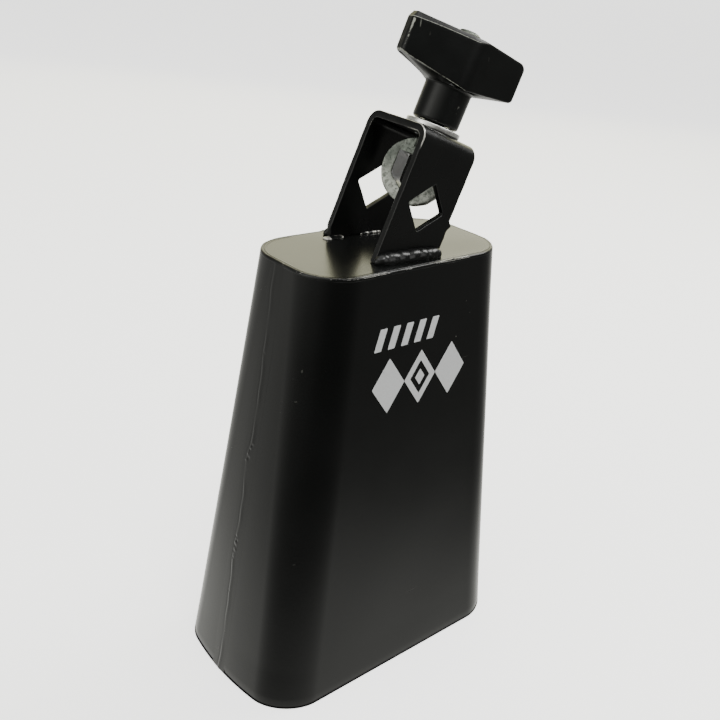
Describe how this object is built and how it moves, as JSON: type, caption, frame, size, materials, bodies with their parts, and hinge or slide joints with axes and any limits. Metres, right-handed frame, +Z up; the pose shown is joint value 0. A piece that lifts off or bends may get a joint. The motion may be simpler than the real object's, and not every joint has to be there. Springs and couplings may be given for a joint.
{
  "type": "cowbell",
  "caption": "Black welded sheet-steel cowbell with a leaning rod clamp on its crown: strap with diamond holes, eye bolt, washer and T-handle.",
  "frame": {"origin": "centre of the bell's open mouth, in the plane of its rim (bottom centre of the bounding box)", "axes": "+Z up through the crown to the clamp, +X along the wide faces towards the side the clamp leans to, +Y from the front face to the rear face"},
  "size_m": [0.1136, 0.0632, 0.2212],
  "materials": {
    "body_paint": "satin",
    "plate_paint": "gloss",
    "weld_paint": "gloss",
    "bracket_paint": "satin",
    "eye_zinc": "satin",
    "washer_zinc": "satin",
    "handle_plastic": "satin",
    "insert_steel": "satin",
    "badge_print": "satin"
  },
  "bodies": {
    "bell": {"front_shell": "body_paint", "rear_shell": "body_paint", "left_seam_weld": "weld_paint", "right_seam_weld": "weld_paint", "top_plate": "plate_paint", "top_edge_weld": "weld_paint", "clamp_bracket": "bracket_paint", "near_foot_weld": "weld_paint", "far_foot_weld": "weld_paint", "left_foot_tack": "weld_paint", "right_foot_tack": "weld_paint"},
    "handle": {"t_handle": "handle_plastic", "handle_insert": "insert_steel"},
    "eye": {"eye_bolt": "eye_zinc"},
    "washer": {"flat_washer": "washer_zinc"}
  },
  "joints": [
    {"name": "handle_turn", "type": "hinge", "parent": "bell", "child": "handle", "pos_m": [0.01383, -0.00255, 0.18636], "axis": [0.3447, -0.0292, 0.9383], "range_deg": [-60, 2880]},
    {"name": "eye_lift", "type": "slide", "parent": "bell", "child": "eye", "axis": [0.3447, -0.0292, 0.9383], "range_m": [-0.0101, 0.0003]},
    {"name": "washer_turn", "type": "hinge", "parent": "bell", "child": "washer", "pos_m": [0.01383, -0.00255, 0.18636], "axis": [0.3447, -0.0292, 0.9383], "continuous": true}
  ],
  "couplings": [
    {"joint": "eye_lift", "follows": "handle_turn", "m_per_rad": -0.00019894}
  ]
}
